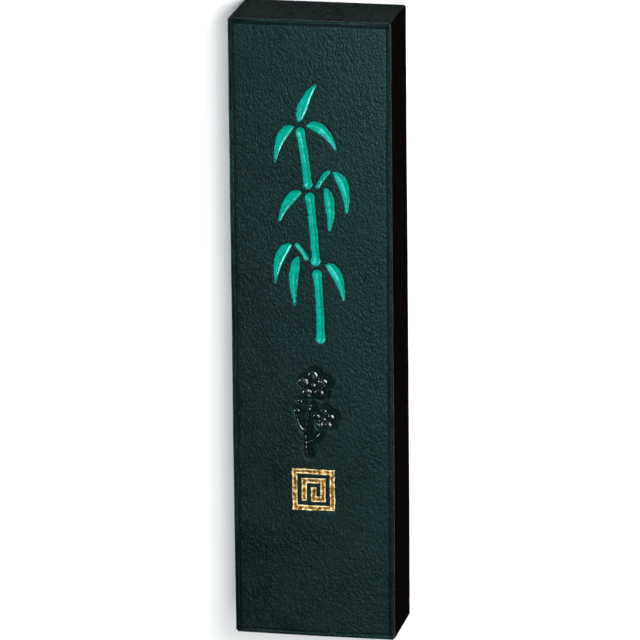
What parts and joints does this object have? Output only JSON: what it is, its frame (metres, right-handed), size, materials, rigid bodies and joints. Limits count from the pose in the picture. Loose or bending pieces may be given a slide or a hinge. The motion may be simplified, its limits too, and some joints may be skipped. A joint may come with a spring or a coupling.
{
  "type": "ink stick",
  "caption": "Oblong moulded stick of solid writing ink with a green inlaid bamboo sprig, a raised flowering twig and a gold seal, ground on a wet stone to make ink.",
  "frame": {"origin": "middle of the footprint, on the surface that the back face rests on", "axes": "+X across the decorated face, +Y along the stick towards the top of the design, +Z out of the decorated face"},
  "size_m": [0.0186, 0.072, 0.0098],
  "materials": {
    "ink": "pressed soot-and-glue ink, fine pebbled grain, low sheen, worn edges",
    "green_pigment": "blue-green mineral pigment brushed into the grooves, half gloss",
    "gold_pigment": "gold powder paint, uneven, bright at the groove's edges"
  },
  "bodies": {
    "root": {"ink_block": "ink", "green_stem_1": "green_pigment", "green_stem_2": "green_pigment", "green_stem_3": "green_pigment", "green_twig_1": "green_pigment", "green_twig_2": "green_pigment", "green_leaf_1": "green_pigment", "green_leaf_2": "green_pigment", "green_leaf_3": "green_pigment", "green_leaf_4": "green_pigment", "green_leaf_5": "green_pigment", "green_leaf_6": "green_pigment", "green_leaf_7": "green_pigment", "green_leaf_8": "green_pigment", "green_leaf_9": "green_pigment", "gold_seal_frame": "gold_pigment", "gold_seal_spiral": "gold_pigment"}
  },
  "joints": []
}
